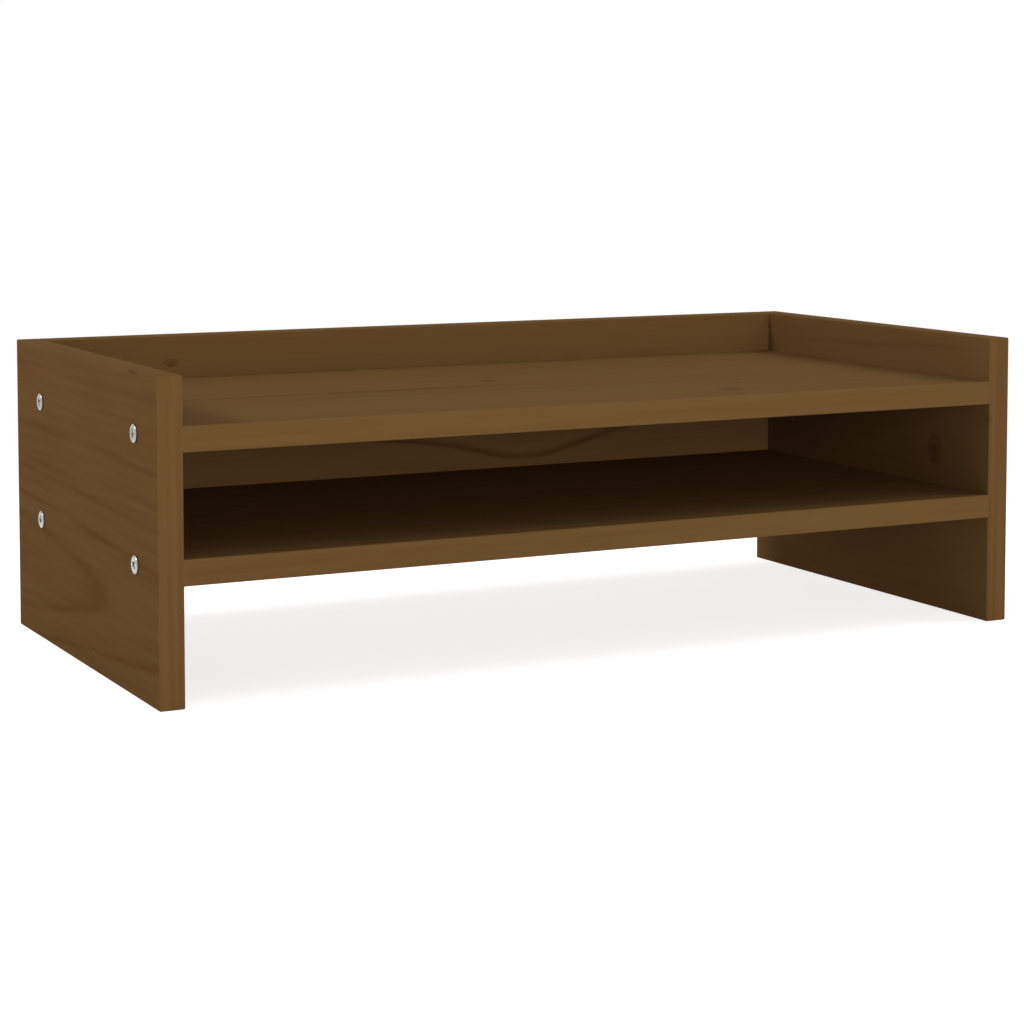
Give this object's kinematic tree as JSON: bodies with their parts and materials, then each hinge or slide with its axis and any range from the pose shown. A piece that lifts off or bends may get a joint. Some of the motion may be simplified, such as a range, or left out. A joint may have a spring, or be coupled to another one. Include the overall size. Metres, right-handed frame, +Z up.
{
  "type": "monitor riser stand",
  "caption": "Low desk stand of stained pine boards that lifts a monitor on a rimmed deck, with an open compartment below the deck and clear space under it.",
  "frame": {"origin": "on the ground under the middle of the stand", "axes": "+X to the right along the shelves, +Y from the open front to the back panel, +Z up"},
  "size_m": [0.5026, 0.24, 0.16],
  "materials": {
    "stained_pine": "honey-brown stain with a thin satin varnish over faint pine grain",
    "zinc_plated_steel": "bright zinc plate",
    "plain_beech": "bare turned beech"
  },
  "bodies": {
    "root": {"left_side_panel": "stained_pine", "right_side_panel": "stained_pine", "upper_shelf": "stained_pine", "lower_shelf": "stained_pine", "back_panel": "stained_pine", "screw_left_upper_front": "zinc_plated_steel", "screw_left_upper_rear": "zinc_plated_steel", "screw_left_lower_front": "zinc_plated_steel", "screw_left_lower_rear": "zinc_plated_steel", "screw_right_upper_front": "zinc_plated_steel", "screw_right_upper_rear": "zinc_plated_steel", "screw_right_lower_front": "zinc_plated_steel", "screw_right_lower_rear": "zinc_plated_steel", "dowel_left_upper_front": "plain_beech", "dowel_left_upper_rear": "plain_beech", "dowel_left_lower_front": "plain_beech", "dowel_left_lower_rear": "plain_beech", "dowel_left_back_upper": "plain_beech", "dowel_left_back_lower": "plain_beech", "dowel_right_upper_front": "plain_beech", "dowel_right_upper_rear": "plain_beech", "dowel_right_lower_front": "plain_beech", "dowel_right_lower_rear": "plain_beech", "dowel_right_back_upper": "plain_beech", "dowel_right_back_lower": "plain_beech"}
  },
  "joints": []
}
